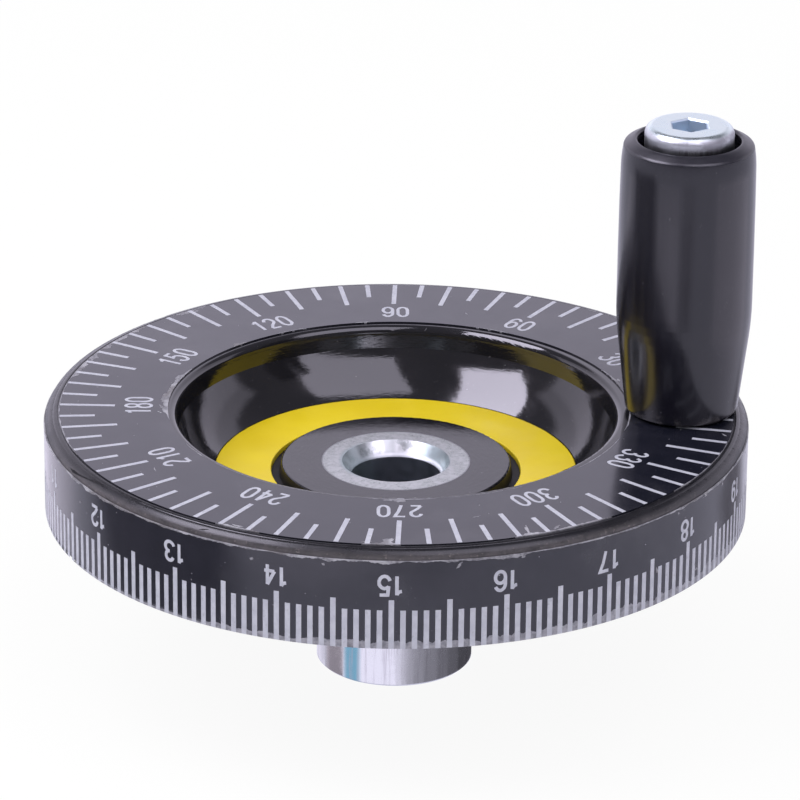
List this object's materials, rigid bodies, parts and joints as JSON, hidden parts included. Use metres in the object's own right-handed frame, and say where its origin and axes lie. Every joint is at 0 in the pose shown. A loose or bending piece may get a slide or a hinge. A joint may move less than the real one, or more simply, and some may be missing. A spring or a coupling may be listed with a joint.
{
  "type": "machine handwheel",
  "caption": "Moulded handwheel with a printed dial on its face and rim, a dished centre with a steel bushed bore, and a revolving handle on a shoulder screw.",
  "frame": {"origin": "centre of the bore at the foot of the hub bush", "axes": "+Z along the bore axis from the hub foot towards the dial face and handle, +X through the handle axis"},
  "size_m": [0.125, 0.125, 0.1016],
  "materials": {
    "wheel_phenolic": "gloss black moulded phenolic",
    "dial_film": "black printed film with pale scale marks, worn at its edges",
    "ring_yellow": "satin yellow plastic",
    "zinc_steel": "turned steel, zinc plated",
    "insert_steel": "turned steel",
    "screw_zinc": "turned steel, bluish zinc plate",
    "grip_plastic": "gloss black moulded plastic"
  },
  "bodies": {
    "wheel": {"wheel_moulding": "wheel_phenolic", "face_dial": "dial_film", "rim_scale": "dial_film", "accent_ring": "ring_yellow", "hub_bush": "zinc_steel", "handle_insert": "insert_steel", "handle_screw": "screw_zinc"},
    "grip": {"handle_grip": "grip_plastic"}
  },
  "joints": [
    {"name": "grip_spin", "type": "hinge", "parent": "wheel", "child": "grip", "pos_m": [0.0505, 0, 0.07], "axis": [0, 0, 1], "continuous": true}
  ]
}
